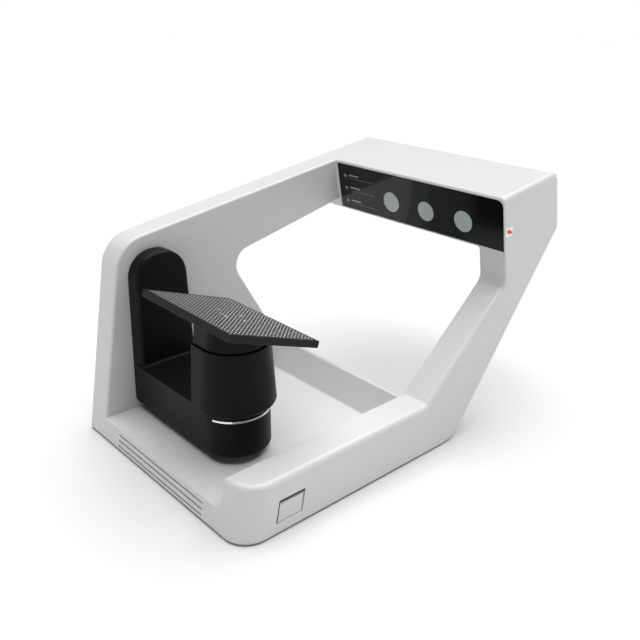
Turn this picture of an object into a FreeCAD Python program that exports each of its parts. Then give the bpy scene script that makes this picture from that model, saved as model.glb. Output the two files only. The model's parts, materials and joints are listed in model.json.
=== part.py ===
import FreeCAD, Part
import math
import os

# Open-frame desktop scanner for dental models.  Millimetres, +Z up.
# Bodies are drawn from the front left bottom corner of the casing and then moved so that the
# origin lies under the middle of the object, on the surface that its rubber feet stand on.

doc = FreeCAD.newDocument("model_scanner")
V = FreeCAD.Vector

DIMENSIONS = [
    # casing
    ("width", 260, "casing, left to right"),
    ("depth", 404, "casing, front to back"),
    ("foot_height", 1.5, "rubber feet below the casing"),
    ("wall_width", 32, "left wall and right arm, across"),
    ("skin", 3, "moulded wall thickness"),
    ("cover_thick", 2, "sheet covers under the base and the arm"),
    ("vent_length", 143, "front vents, left to right"),
    ("vent_height", 1.8, "front vents"),
    ("front_lean", 10.6, "front faces lean back, degrees"),
    ("top_slope", 8.6, "top rises to the back, degrees"),
    ("head_tilt", 10, "front of the head tips forward, degrees"),
    ("floor_top", 21.5, "top of the base floor"),
    ("rim_top", 52, "top of the right rim and of the sill"),
    ("sill_front", 198, "where the sill rises from the floor"),
    ("sill_ridge", 217, "highest line of the sill"),
    ("base_rear", 240, "bottom edge of the sill's rear face"),
    ("top_front", 187.35, "height of the top line carried to the front edge"),
    ("front_top_radius", 35, "upper front corner of the left wall"),
    ("beam_low", 160, "beam underside above its front end"),
    ("beam_slope", 12.8, "beam underside rises to the back, degrees"),
    ("window_radius", 18, "front corner of the side window"),
    ("head_front", 348.7, "front plane of the head carried to the bottom level"),
    ("head_low", 177.8, "front bottom edge of the head"),
    ("head_rear_top", 393, "top edge of the head's rear face"),
    ("arm_slope", 52.6, "rear face of the right arm, degrees"),
    ("arm_heel", 258.7, "rear face of the right arm at the bottom"),
    ("heel_radius", 36, "heel of the right arm"),
    ("arm_front_slope", 41.5, "front face of the right arm, degrees"),
    ("plan_radius", 24, "front right corner, seen from above"),
    ("edge_radius", 5, "outer edges"),
    ("head_edge_radius", 1.5, "upright edge beside the front panel"),
    ("low_edge_radius", 2.2, "outer edges of the arm's rear face and of the bottom"),
    ("inner_radius", 2.5, "inner edges"),
    # swing arm and turntable
    ("swing_y", 70, "swing axis from the front"),
    ("swing_z", 156, "swing axis above the bottom"),
    ("table_x", 159, "turntable axis from the left"),
    ("table_z", 154.2, "top of the plate at the turntable axis"),
    ("table_tilt", 20, "turntable axis leans to the cameras, degrees"),
    ("plate_length", 129, "model plate, left to right"),
    ("plate_width", 96, "model plate, front to back"),
    ("plate_thick", 6.5, "model plate"),
    ("plate_corner", 2, "model plate, corners"),
    ("hub_radius", 24.5, "turntable hub under the plate"),
    ("turret_drop", 9, "top of the turret below the top of the plate"),
    ("column_face", 50, "face of the swing arm's column, from the left"),
    ("column_gap", 0.8, "air between the left wall and the column"),
    ("column_radius", 27, "rounded top of the column"),
    ("foot_half", 32.3, "half width of the swing arm's foot"),
    ("foot_low", 28.5, "underside of the foot"),
    ("foot_top", 72, "top of the foot"),
    ("cup_top", 132, "rim of the turntable housing"),
    ("cup_wall", 1.8, "turntable housing, wall"),
    # swing drive in the left wall
    ("shaft_radius", 8, "swing shaft"),
    ("gear_module", 1, "swing drive teeth"),
    ("gear_teeth", 60, "gear on the swing shaft"),
    ("pinion_teeth", 15, "pinion on the swing motor"),
    ("gear_left", 5, "left face of the gear"),
    ("gear_width", 5, "gear face width"),
    # head
    ("panel_left", 34, "front panel, left edge"),
    ("panel_right", 258.2, "front panel, right edge"),
    ("panel_low", 2.5, "front panel above the bottom edge, along the face"),
    ("panel_high", 54, "front panel, top edge along the face"),
    ("panel_thick", 2, "front panel"),
    ("optics_x", 161.6, "projector from the left"),
    ("optics_pitch", 48.4, "projector to each camera"),
    ("optics_up", 23, "optics above the bottom edge, along the face"),
    ("window_disc", 11, "camera window radius"),
    ("projector_disc", 10.4, "projector window radius"),
]

sheet = doc.addObject("Spreadsheet::Sheet", "dims")
for row, (alias, value, note) in enumerate(DIMENSIONS, start=1):
    sheet.set("A%d" % row, alias)
    sheet.set("B%d" % row, str(value))
    sheet.setAlias("B%d" % row, alias)
    sheet.set("C%d" % row, note)
doc.recompute()
D = {alias: float(value) for alias, value, note in DIMENSIONS}


def slope(name):
    return math.tan(math.radians(D[name]))


def top_at(y):
    return D["top_front"] + slope("top_slope") * y


def head_face_at(z):
    return D["head_front"] - slope("head_tilt") * z


def meet(p, a, q, b):
    """Point where the line through p along a crosses the line through q along b."""
    det = a[0] * b[1] - a[1] * b[0]
    k = ((q[0] - p[0]) * b[1] - (q[1] - p[1]) * b[0]) / det
    return (p[0] + k * a[0], p[1] + k * a[1])


def new_body(label):
    body = doc.addObject("PartDesign::Body", label)
    body.Label = label
    return body


def new_sketch(body, role, offset=None):
    sketch = body.newObject("Sketcher::SketchObject", body.Label + "_sketch")
    plane = [f for f in body.Origin.OriginFeatures if f.Role == role][0]
    sketch.AttachmentSupport = [(plane, "")]
    sketch.MapMode = "FlatFace"
    if offset is not None:
        sketch.setExpression(".AttachmentOffset.Base.z", str(offset))
    return sketch


def outline(sketch, corners):
    """Closed outline through corners (u, v) or (u, v, radius), rounded by tangent arcs."""
    count = len(corners)
    starts, ends, arcs = [], [], []
    for i in range(count):
        p = V(corners[i][0], corners[i][1], 0)
        radius = corners[i][2] if len(corners[i]) > 2 else 0
        if radius == 0:
            starts.append(p)
            ends.append(p)
            arcs.append(None)
            continue
        before = V(*corners[i - 1][:2], 0) - p
        after = V(*corners[(i + 1) % count][:2], 0) - p
        before.normalize()
        after.normalize()
        half = before.getAngle(after) / 2
        reach = radius / math.tan(half)
        bisector = (before + after).normalize()
        middle = p + bisector * (radius / math.sin(half) - radius)
        starts.append(p + before * reach)
        ends.append(p + after * reach)
        arcs.append(Part.Arc(starts[-1], middle, ends[-1]))
    for i in range(count):
        if arcs[i] is not None:
            sketch.addGeometry(arcs[i], False)
        line_end = starts[(i + 1) % count]
        if (line_end - ends[i]).Length > 1e-6:
            sketch.addGeometry(Part.LineSegment(ends[i], line_end), False)


def inset(corners, gap):
    """The same outline a gap further in; corners run anticlockwise or clockwise."""
    count = len(corners)
    area = sum(corners[i - 1][0] * corners[i][1] - corners[i][0] * corners[i - 1][1] for i in range(count))
    side = 1 if area > 0 else -1
    lines = []
    for i in range(count):
        p, q = corners[i], corners[(i + 1) % count]
        along = V(q[0] - p[0], q[1] - p[1], 0).normalize()
        lines.append(((p[0] - along.y * gap * side, p[1] + along.x * gap * side), (along.x, along.y)))
    inner = []
    for i in range(count):
        (p, a), (q, b) = lines[i - 1], lines[i]
        point = meet(p, a, q, b)
        radius = corners[i][2] if len(corners[i]) > 2 else 0
        convex = (a[0] * b[1] - a[1] * b[0]) * side > 0
        if radius:
            radius = max(radius - gap, 0.5) if convex else radius + gap
        inner.append((*point, radius))
    return inner


def prism(label, role, offset, corners, length):
    """Body padded along its plane's normal from an outline."""
    body = new_body(label)
    sketch = new_sketch(body, role, offset)
    outline(sketch, corners)
    feature = body.newObject("PartDesign::Pad", label + "_pad")
    feature.Profile = sketch
    feature.setExpression("Length", str(length))
    return body


def loft(label, low, low_corners, high, high_corners):
    """Body lofted upwards between two outlines in level planes."""
    body = new_body(label)
    first = new_sketch(body, "XY_Plane", low)
    outline(first, low_corners)
    second = new_sketch(body, "XY_Plane", high)
    outline(second, high_corners)
    feature = body.newObject("PartDesign::AdditiveLoft", label + "_loft")
    feature.Profile = first
    feature.Sections = [second]
    return body


def place(obj, at, turn=None):
    if turn is not None:
        obj.Placement = FreeCAD.Placement(V(), turn)
    for axis, value in zip("xyz", at):
        obj.setExpression("Placement.Base." + axis, str(value))


def box(name, size, at, turn=None):
    obj = doc.addObject("Part::Box", name)
    for prop, value in zip(("Length", "Width", "Height"), size):
        obj.setExpression(prop, str(value))
    place(obj, at, turn)
    return obj


def cylinder(name, radius, length, at, turn=None):
    obj = doc.addObject("Part::Cylinder", name)
    obj.setExpression("Radius", str(radius))
    obj.setExpression("Height", str(length))
    place(obj, at, turn)
    return obj


def fuse(name, *shapes):
    obj = doc.addObject("Part::MultiFuse", name)
    obj.Shapes = list(shapes)
    obj.Refine = True
    return obj


def cut(name, base, *tools):
    obj = doc.addObject("Part::Cut", name)
    obj.Base = base
    obj.Tool = tools[0] if len(tools) == 1 else fuse(name + "_tools", *tools)
    obj.Refine = True
    return obj


def common(name, base, tool):
    obj = doc.addObject("Part::Common", name)
    obj.Base = base
    obj.Tool = tool
    return obj


def gather(name, *shapes):
    """Several separate solids of one kind as one sub-part."""
    obj = doc.addObject("Part::Compound", name)
    obj.Links = list(shapes)
    return obj


def round_edges(name, base, picks):
    """Fillets every edge of base that a pick (test, radius) accepts, first match wins."""
    doc.recompute()
    edges = []
    for number, edge in enumerate(base.Shape.Edges, start=1):
        points = [edge.valueAt(edge.FirstParameter), edge.valueAt(edge.LastParameter),
                  edge.valueAt((edge.FirstParameter + edge.LastParameter) / 2)]
        for test, radius in picks:
            if test(points):
                edges.append((number, radius, radius))
                break
    obj = doc.addObject("Part::Fillet", name)
    obj.Base = base
    obj.Edges = edges
    return obj


def sub_part(obj, label):
    """Names a finished sub-part and moves it from the casing's corner to the origin."""
    obj.Label = label
    obj.setExpression("Placement.Base.x", "-dims.width / 2")
    obj.setExpression("Placement.Base.y", "-dims.depth / 2")
    obj.setExpression("Placement.Base.z", "dims.foot_height")
    SUB_PARTS.append(obj)


SUB_PARTS = []
TURRET_TOP = D["turret_drop"]
PLATE_SCREWS = [(-14, -2), (2.5, -11), (8.5, -11), (2.5, 10), (18.5, 2)]
ALONG_X = FreeCAD.Rotation(V(0, 0, 1), V(1, 0, 0))
TABLE_TURN = FreeCAD.Rotation(V(1, 0, 0), -D["table_tilt"])


def near(a, b):
    return abs(a - b) < 0.05


def all_at(points, axis, value):
    return all(near(p[axis], value) for p in points)


# ---------------------------------------------------------------- casing profiles (Y, Z)

FRONT = slope("front_lean")
RISE = slope("top_slope")
TIP = slope("head_tilt")
RIM = D["rim_top"]
RIDGE = (D["sill_ridge"], RIM)
REAR_LOW = (D["base_rear"], 0)
REAR_RUN = (REAR_LOW[0] - RIDGE[0], REAR_LOW[1] - RIDGE[1])
HEAD_FACE = ((D["head_front"], 0), (-TIP, 1))
HEAD_LOW = (head_face_at(D["head_low"]), D["head_low"])
HEAD_HIGH = meet((0, D["top_front"]), (1, RISE), *HEAD_FACE)
HEAD_REAR_HIGH = (D["head_rear_top"], top_at(D["head_rear_top"]))
HEAD_REAR_LOW = meet(HEAD_LOW, (1, RISE), (D["arm_heel"], 0), (1, slope("arm_slope")))
WALL_HIGH = meet((0, 0), (FRONT, 1), (0, D["top_front"]), (1, RISE))
WINDOW_LOW = (203, 76.5)
BEAM = ((190, D["beam_low"]), (1, slope("beam_slope")))
BEAM_FRONT = meet(*BEAM, WINDOW_LOW, (RIDGE[0] - WINDOW_LOW[0], RIDGE[1] - WINDOW_LOW[1]))
BEAM_REAR = meet(*BEAM, *HEAD_FACE)
ARM_FRONT = meet(RIDGE, (1, slope("arm_front_slope")), *HEAD_FACE)
HEAD_OUTLINE = [HEAD_LOW, HEAD_HIGH, (*HEAD_REAR_HIGH, 10), HEAD_REAR_LOW]


def on_rear(z):
    """Y of the sill's rear face at a height."""
    return RIDGE[0] + (RIM - z) * REAR_RUN[0] / -REAR_RUN[1]


REAR_LEAN = math.atan2(REAR_RUN[0], -REAR_RUN[1])
REAR_OUT = V(0, math.cos(REAR_LEAN), math.sin(REAR_LEAN))
REAR_UP = V(0, -math.sin(REAR_LEAN), math.cos(REAR_LEAN))
REAR_TILT = FreeCAD.Rotation(V(1, 0, 0), math.degrees(REAR_LEAN))
REAR_IN = FreeCAD.Rotation(V(0, 0, 1), -REAR_OUT)
SOCKET_LEVEL = 25


def rear_point(x, up, out):
    """Point on the sill's rear face: up it from the sockets' level, and out from it."""
    return (x, on_rear(SOCKET_LEVEL) + REAR_UP.y * up + REAR_OUT.y * out,
            SOCKET_LEVEL + REAR_UP.z * up + REAR_OUT.z * out)


def casing_form():
    inside_head = 345
    floor = D["floor_top"]
    beam_inside = meet(*BEAM, (inside_head, 0), (0, 1))
    head = prism("head_form", "YZ_Plane", None, HEAD_OUTLINE, "dims.width")
    left = prism("left_form", "YZ_Plane", None,
                 [(0, 0), (*WALL_HIGH, D["front_top_radius"]), (inside_head, top_at(inside_head)),
                  beam_inside, (*BEAM_FRONT, D["window_radius"]), RIDGE, REAR_LOW],
                 "dims.wall_width")
    right = prism("right_form", "YZ_Plane", "dims.width - dims.wall_width",
                  [(0, 0), (FRONT * RIM, RIM), (*RIDGE, 6), (*ARM_FRONT, 10), HEAD_LOW,
                   HEAD_REAR_LOW, (D["arm_heel"], 0, D["heel_radius"])],
                  "dims.wall_width")
    base = prism("base_form", "YZ_Plane", None,
                 [(0, 0), (FRONT * floor, floor), (D["sill_front"], floor, 3), (*RIDGE, 3), REAR_LOW],
                 "dims.width")
    return fuse("casing_form", head, left, right, base)


def rounded_casing():
    """The whole moulded loop with its edges rounded, before it is parted into its shells."""
    width, wall = D["width"], D["wall_width"]
    outer, inner = D["edge_radius"], D["inner_radius"]

    def plan_corner(pts):
        return all_at(pts, 0, width) and pts[2].y < 10 and pts[2].z > 5

    planned = round_edges("casing_plan", casing_form(), [(plan_corner, D["plan_radius"])])

    def outer_side(pts):
        on_side = all_at(pts, 0, 0) or all_at(pts, 0, width)
        return on_side and not all_at(pts, 2, 0)

    def behind_arm(pts):
        middle = pts[2]
        lean = (middle.y - D["arm_heel"]) - middle.z / slope("arm_slope")
        heel = middle.y > 200 and middle.z < 20
        return all_at(pts, 0, width) and not all_at(pts, 2, 0) and (abs(lean) < 0.5 or heel)

    def rim_front(pts):
        return all_at(pts, 2, RIM) and pts[2].y < 40 and pts[2].x > width - wall + 1

    def window_edge(pts):
        return all_at(pts, 0, wall) and max(p.z for p in pts) > RIM + 1

    def head_front_edge(pts):
        level = all_at(pts, 2, HEAD_HIGH[1]) or all_at(pts, 2, HEAD_LOW[1])
        return level and abs(pts[0].x - pts[1].x) > 200

    def arm_inner_edge(pts):
        return all_at(pts, 0, width - wall) and min(p.z for p in pts) > RIM - 1

    def beside_panel(pts):
        return all_at(pts, 0, width) and all(near(p.y, head_face_at(p.z)) for p in pts)

    return round_edges("casing_rounded", planned,
                       [(beside_panel, D["head_edge_radius"]), (behind_arm, D["low_edge_radius"]),
                        (outer_side, outer), (rim_front, outer), (window_edge, inner),
                        (head_front_edge, inner), (arm_inner_edge, inner)])


def casing_shells():
    whole = rounded_casing()
    head_zone = prism("head_zone", "YZ_Plane", -1,
                      [HEAD_LOW, (head_face_at(300), 300), (460, 300),
                       (460, HEAD_LOW[1] + RISE * (460 - HEAD_LOW[0]))], "dims.width + 2")
    below = cut("casing_below_head", whole, head_zone)
    right_zone = fuse("right_zone",
                      box("arm_zone", ("dims.wall_width + 1", "dims.depth + 20", 300),
                          ("dims.width - dims.wall_width", -10, -10)),
                      box("arm_top_zone", ("dims.wall_width", 120, 100),
                          ("dims.width - dims.wall_width - 2 * dims.inner_radius", 300, 120)))
    base_zone = fuse("base_zone",
                     box("floor_zone", ("dims.width - dims.wall_width + 1", 300, "dims.floor_top + 1"),
                         (-1, -10, -1)),
                     box("sill_zone", ("dims.width - 2 * dims.wall_width", 300, 40),
                         ("dims.wall_width", -10, "dims.floor_top - 1")))
    head = common("head_block", whole, head_zone)
    right = common("right_block", below, right_zone)
    left_part = cut("casing_left", below, right_zone)
    base = common("base_block", left_part, base_zone)
    left = cut("left_block", left_part, base_zone)
    return base, left, right, head


# ---------------------------------------------------------------- base

BASE_FAN = (92, 120)
BASE_SCREWS = [(14, 14), (214, 14), (14, 190), (214, 190)]
ARM_SCREWS = [(244, 26), (244, 200)]
VENT_LEVELS = (4.7, 10.2, 15.7)
VENT_LEFT = 60


def base_shell(block):
    skin = D["skin"]
    floor = D["floor_top"]
    inner = inset([(0, 0), (FRONT * floor, floor), (D["sill_front"], floor), RIDGE, REAR_LOW], skin)
    low = -1
    front_low = (inner[0][0] - FRONT * (inner[0][1] - low), low)
    rear_low = (inner[4][0] + (inner[4][1] - low) * REAR_RUN[0] / -REAR_RUN[1], low)
    under_floor = prism("base_cavity", "YZ_Plane", "dims.skin",
                        [front_low, inner[1], inner[2], (rear_low[0] - 9, inner[2][1]), rear_low],
                        "dims.width - dims.wall_width - 2 * dims.skin")
    under_sill = prism("sill_cavity", "YZ_Plane", "dims.wall_width + dims.skin",
                       [(inner[2][0], inner[2][1] - 1), inner[2], inner[3], rear_low, (inner[2][0], low)],
                       "dims.width - 2 * dims.wall_width - 2 * dims.skin")
    posts = [cylinder("base_post", 4, "dims.floor_top - dims.skin - 2.5 + 0.2", (x, y, 2.6))
             for x, y in BASE_SCREWS]
    vents = [box("vent", ("dims.vent_length", 12, "dims.vent_height"),
                 (VENT_LEFT, -4, "%g - dims.vent_height / 2" % z)) for z in VENT_LEVELS]
    rear_hole = box("connector_opening", (52, 9, 17), rear_point(84, -8.5, -5), REAR_TILT)
    hollow = cut("base_hollow", block, under_floor, under_sill)
    drilled = [cylinder("base_post_hole", 1.3, 9, (x, y, 2)) for x, y in BASE_SCREWS]
    body = cut("base_shell_cut", fuse("base_with_posts", hollow, *posts), *vents, rear_hole, *drilled)
    sub_part(body, "base_shell")


def bottom_cover():
    plate = box("bottom_plate", ("dims.width - dims.wall_width - 2 * dims.skin - 0.5", 231, "dims.cover_thick"),
                ("dims.skin + 0.25", 4.2, 0))
    x, y = BASE_FAN
    slots = [box("grille_slot", (26, 2.4, 4), (x - 13, y - 14.2 + 5.2 * i, -1)) for i in range(6)]
    holes = [cylinder("cover_hole", 1.6, 4, (px, py, -1)) for px, py in BASE_SCREWS]
    holes += [cylinder("fan_thread", 1.5, 4, (x + 16 * i, y + 16 * j, -1)) for i in (-1, 1) for j in (-1, 1)]
    sub_part(cut("bottom_plate_cut", plate, *slots, *holes), "bottom_cover")


def vent_filter():
    """Black foam strip against the inside of the front vents."""
    thick, low, high = 3, 2.6, 17.6
    near_side = D["skin"] / math.cos(math.radians(D["front_lean"])) + 0.15
    strip = prism("filter_form", "YZ_Plane", VENT_LEFT - 3,
                  [(FRONT * low + near_side, low), (FRONT * high + near_side, high),
                   (FRONT * high + near_side + thick, high), (FRONT * low + near_side + thick, low)],
                  "dims.vent_length + 6")
    sub_part(gather("filter_set", strip), "vent_filter")


def rubber_feet():
    feet = []
    for x, y in ((26, 34), (236, 34), (26, 212), (236, 212)):
        disc = cylinder("foot_disc", 8, "dims.foot_height", (x, y, "-dims.foot_height"))
        feet.append(disc)
    sub_part(gather("feet", *feet), "rubber_feet")


def bottom_screws():
    screws = []
    for x, y in BASE_SCREWS + ARM_SCREWS:
        shank = cylinder("screw_shank", 1.3, 7, (x, y, 0))
        head = cylinder("screw_head", 2.6, 1.2, (x, y, -1.2))
        screws.append(fuse("bottom_screw", shank, head))
    sub_part(gather("screws", *screws), "bottom_screws")


def control_board():
    board = box("board_plate", (80, 100, 1.6), (130, 70, 7))
    chips = [box("board_chip", (w, d, t), (x, y, 8.6)) for x, y, w, d, t in
             ((145, 90, 16, 16, 1.8), (175, 95, 12, 20, 2.2), (142, 130, 24, 10, 5), (180, 140, 14, 14, 1.6))]
    posts = [cylinder("board_post", 3, 5.2, (x, y, 2)) for x, y in
             ((136, 76), (204, 76), (136, 164), (204, 164))]
    sub_part(fuse("board", board, *chips, *posts), "control_board")


def cooling_fan():
    x, y = BASE_FAN
    low, side, tall = D["cover_thick"], 40, 10
    frame = box("fan_block", (side, side, tall), (x - side / 2, y - side / 2, low))
    well = cylinder("fan_well", side / 2 - 1.2, tall + 2, (x, y, low - 1))
    strut = box("fan_strut", (side - 1.5, 3, 1.5), (x - side / 2 + 0.75, y - 1.5, low))
    cross = box("fan_strut", (3, side - 1.5, 1.5), (x - 1.5, y - side / 2 + 0.75, low))
    seat = cylinder("fan_seat", 7, 1.5, (x, y, low))
    hole = cylinder("fan_bearing", 1.1, 4, (x, y, low - 1))
    corners = [cylinder("fan_screw_hole", 1.7, tall + 2, (x + 16 * i, y + 16 * j, low - 1))
               for i in (-1, 1) for j in (-1, 1)]
    ring = cut("fan_ring", frame, well, *corners)
    sub_part(cut("fan_body", fuse("fan_spider", ring, strut, cross, seat), hole), "fan_frame")
    hub = cylinder("fan_hub", 7.5, 7, (x, y, low + 2))
    pin = cylinder("fan_pin", 1, 2.5, (x, y, low))
    blades = []
    count = 7
    lean = FreeCAD.Rotation(V(1, 0, 0), 38)
    for i in range(count):
        angle = 360 / count * i
        turn = FreeCAD.Rotation(V(0, 0, 1), angle).multiply(lean)
        blades.append(box("fan_blade", (11.2, 7, 0.9),
                          (x + 6.5 * math.cos(math.radians(angle)),
                           y + 6.5 * math.sin(math.radians(angle)), low + 3), turn))
    sub_part(fuse("fan_wheel", hub, pin, *blades), "fan_rotor")
    screws = []
    for i in (-1, 1):
        for j in (-1, 1):
            at = (x + 16 * i, y + 16 * j)
            shank = cylinder("fan_shank", 1.5, tall + 0.2, (*at, low - 0.2))
            screws.append(fuse("fan_screw", shank, cylinder("fan_screw_head", 2.8, 1.4, (*at, low + tall))))
    sub_part(gather("fan_screw_set", *screws), "fan_screws")


def connectors():
    """Plate and sockets behind an opening in the slanted rear face of the sill."""
    plate = box("connector_plate_form", (60, 2, 21), rear_point(80, -10.5, -5.2), REAR_TILT)
    round_hole = cylinder("inlet_hole", 5.6, 6, rear_point(95, 0, -1), REAR_IN)
    square_hole = box("usb_hole", (12.4, 6, 11.4), rear_point(118.8, -5.7, -7), REAR_TILT)
    sub_part(cut("plate_cut", plate, round_hole, square_hole), "connector_plate")
    barrel = cylinder("inlet_barrel", 5.5, 13, rear_point(95, 0, -2.6), REAR_IN)
    bore = cylinder("inlet_bore", 3.2, 10, rear_point(95, 0, -2.4), REAR_IN)
    pin = cylinder("inlet_pin", 1, 10.5, rear_point(95, 0, -3.2), REAR_IN)
    sub_part(fuse("inlet", cut("inlet_tube", barrel, bore), pin), "power_inlet")
    shell = box("usb_shell", (12, 15, 11), rear_point(119, -5.5, -17.6), REAR_TILT)
    mouth = box("usb_mouth", (8.6, 10, 8), rear_point(120.7, -4, -12.4), REAR_TILT)
    tongue = box("usb_tongue", (5.6, 9, 3.2), rear_point(122.2, -1.6, -13.4), REAR_TILT)
    sub_part(fuse("usb", cut("usb_can", shell, mouth), tongue), "usb_socket")


# ---------------------------------------------------------------- left wall and swing drive

WALL_SCREWS = [(22, 40), (150, 196), (205, 40), (290, 214)]
DRIVE_POSTS = [(47, 92), (93, 92), (44, 180), (104, 188)]


def wall_outline():
    floor = D["floor_top"]
    rear_floor = (on_rear(floor), floor)
    return [(FRONT * floor, floor), (*WALL_HIGH, D["front_top_radius"]), HEAD_HIGH, BEAM_REAR,
            (*BEAM_FRONT, D["window_radius"]), RIDGE, rear_floor]


def left_wall(block):
    y, z = "dims.swing_y", "dims.swing_z"
    cavity = prism("wall_cavity", "YZ_Plane", -1, inset(wall_outline(), D["skin"]),
                   "dims.wall_width - dims.skin + 1")
    hollow = cut("wall_hollow", block, cavity)
    boss = cylinder("bearing_boss", 18, "dims.wall_width - dims.skin - 13.5 + 0.2", (13.5, y, z), ALONG_X)
    posts = [cylinder("wall_post", 4, "dims.wall_width - 2 * dims.skin + 0.2", (3, py, pz), ALONG_X)
             for py, pz in WALL_SCREWS]
    stands = [cylinder("drive_stand", 3.2, 16.7, (12.5, py, pz), ALONG_X) for py, pz in DRIVE_POSTS]
    bored = [cylinder("bearing_bore", 14, 17.1, (13.4, y, z), ALONG_X),
             cylinder("shaft_hole", 10, 20, (20, y, z), ALONG_X)]
    bored += [cylinder("wall_post_hole", 1.3, 10, (2.5, py, pz), ALONG_X) for py, pz in WALL_SCREWS]
    sub_part(cut("wall_bored", fuse("wall_with_posts", hollow, boss, *posts, *stands), *bored),
             "left_wall_shell")


def left_cover():
    plate = prism("cover_form", "YZ_Plane", 0, inset(wall_outline(), D["skin"] + 0.15), "dims.skin - 0.2")
    holes = [cylinder("cover_screw_hole", 1.6, 6, (-1, py, pz), ALONG_X) for py, pz in WALL_SCREWS]
    sinks = [cylinder("cover_screw_sink", 3, 2.2, (-1, py, pz), ALONG_X) for py, pz in WALL_SCREWS]
    sub_part(cut("cover_cut", plate, *holes, *sinks), "left_cover")
    screws = []
    for py, pz in WALL_SCREWS:
        shank = cylinder("side_shank", 1.3, 9, (1.2, py, pz), ALONG_X)
        head = cylinder("side_head", 2.7, 0.9, (0.3, py, pz), ALONG_X)
        screws.append(fuse("side_screw", shank, head))
    sub_part(gather("side_screws", *screws), "side_screws")


def toothed(name, teeth, phase, centre_y, centre_z, bore):
    """Spur gear across the drive plane with straight-flanked teeth, its teeth set by a formula."""
    module = D["gear_module"]
    pitch = module * teeth / 2
    step = 2 * math.pi / teeth
    profile = [(pitch - 1.2 * module, 0.33), (pitch, 0.215), (pitch + 0.85 * module, 0.1)]
    points = []
    for i in range(teeth):
        middle = phase + step * i
        rising = [(radius, middle - step * share) for radius, share in profile]
        falling = [(radius, middle + step * share) for radius, share in reversed(profile)]
        for radius, angle in rising + falling:
            points.append(V(0, radius * math.cos(angle), radius * math.sin(angle)))
    wire = Part.makePolygon(points + points[:1])
    disc = Part.Face(wire).extrude(V(D["gear_width"], 0, 0))
    hole = Part.makeCylinder(bore, D["gear_width"], V(), V(1, 0, 0))
    obj = doc.addObject("Part::Feature", name)
    obj.Shape = disc.cut(hole)
    obj.Placement = FreeCAD.Placement(V(D["gear_left"], centre_y, centre_z), FreeCAD.Rotation())
    return obj


PINION_DROP = D["gear_module"] * (D["gear_teeth"] + D["pinion_teeth"]) / 2 + 0.1


def swing_drive():
    y, z = D["swing_y"], D["swing_z"]
    low = z - PINION_DROP
    gear = toothed("gear_form", int(D["gear_teeth"]), math.radians(-90), y, z, D["shaft_radius"])
    pinion_phase = math.radians(90 + 180 / D["pinion_teeth"])
    pinion = toothed("pinion_form", int(D["pinion_teeth"]), pinion_phase, y, low, 1.5)
    web = [cylinder("gear_hole", 5, 8, (4, y + 18 * math.cos(a), z + 18 * math.sin(a)), ALONG_X)
           for a in (math.radians(60 * i + 30) for i in range(6))]
    sub_part(cut("gear_webbed", gear, *web), "swing_gear")
    pin = cylinder("motor_shaft", 1.5, 8.5, (5, y, low), ALONG_X)
    sub_part(fuse("pinion_shaft", pinion, pin), "swing_pinion")
    shaft = cylinder("shaft_rod", "dims.shaft_radius - 0.05", "dims.column_face - 9", (5, y, z), ALONG_X)
    collar = cylinder("shaft_collar", "dims.shaft_radius + 2", 2.6, (10.6, y, z), ALONG_X)
    sub_part(fuse("shaft", shaft, collar), "swing_shaft")
    bearings = []
    for x in (14.5, 23.4):
        ring = cylinder("bearing_ring", 14, 7, (x, y, z), ALONG_X)
        bore = cylinder("bearing_hole", "dims.shaft_radius", 9, (x - 1, y, z), ALONG_X)
        groove = doc.addObject("Part::Torus", "bearing_groove")
        groove.Radius1 = 11
        groove.Radius2 = 1
        place(groove, (x, y, z), ALONG_X)
        bearings.append(cut("bearing", ring, bore, groove))
    sub_part(gather("bearings", *bearings), "swing_bearings")
    can = cylinder("motor_can", 16.5, 15, (12.6, y, low), ALONG_X)
    hole = cylinder("motor_bore", 1.6, 4, (12, y, low), ALONG_X)
    sub_part(cut("motor_body", can, hole), "swing_motor")
    plate = box("bracket_plate", (1.4, 80, 122), (11.1, 32, 78))
    round_window = cylinder("bracket_window", 20, 4, (10, y, z), ALONG_X)
    pin_hole = cylinder("bracket_hole", 5, 4, (10, y, low), ALONG_X)
    profile = prism("bracket_zone", "YZ_Plane", 10, inset(wall_outline(), D["skin"] + 1), 4)
    trimmed = common("bracket_trim", plate, profile)
    sub_part(cut("bracket_cut", trimmed, round_window, pin_hole), "drive_bracket")


# ---------------------------------------------------------------- right arm and power button

BUTTON = [(37.2, 10.5), (40.8, 29.2), (67.3, 29.2), (63.5, 10.5)]
BUTTON_POCKET = [(35.8, 10.1, 1.5), (40.1, 31.6, 1.5), (68, 31.6, 1.5), (63.9, 10.1, 1.5)]
BUTTON_STEM = (52, 20.5)


def arm_mouth(gap):
    """Plan of the opening in the right arm's bottom, drawn in by a gap."""
    left, right = D["width"] - D["wall_width"] + 7 + gap, D["width"] - 7 - gap
    return [(left, 8 + gap), (right, 8 + gap, 14), (right, 230 - gap, 3), (left, 230 - gap, 3)]


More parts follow.
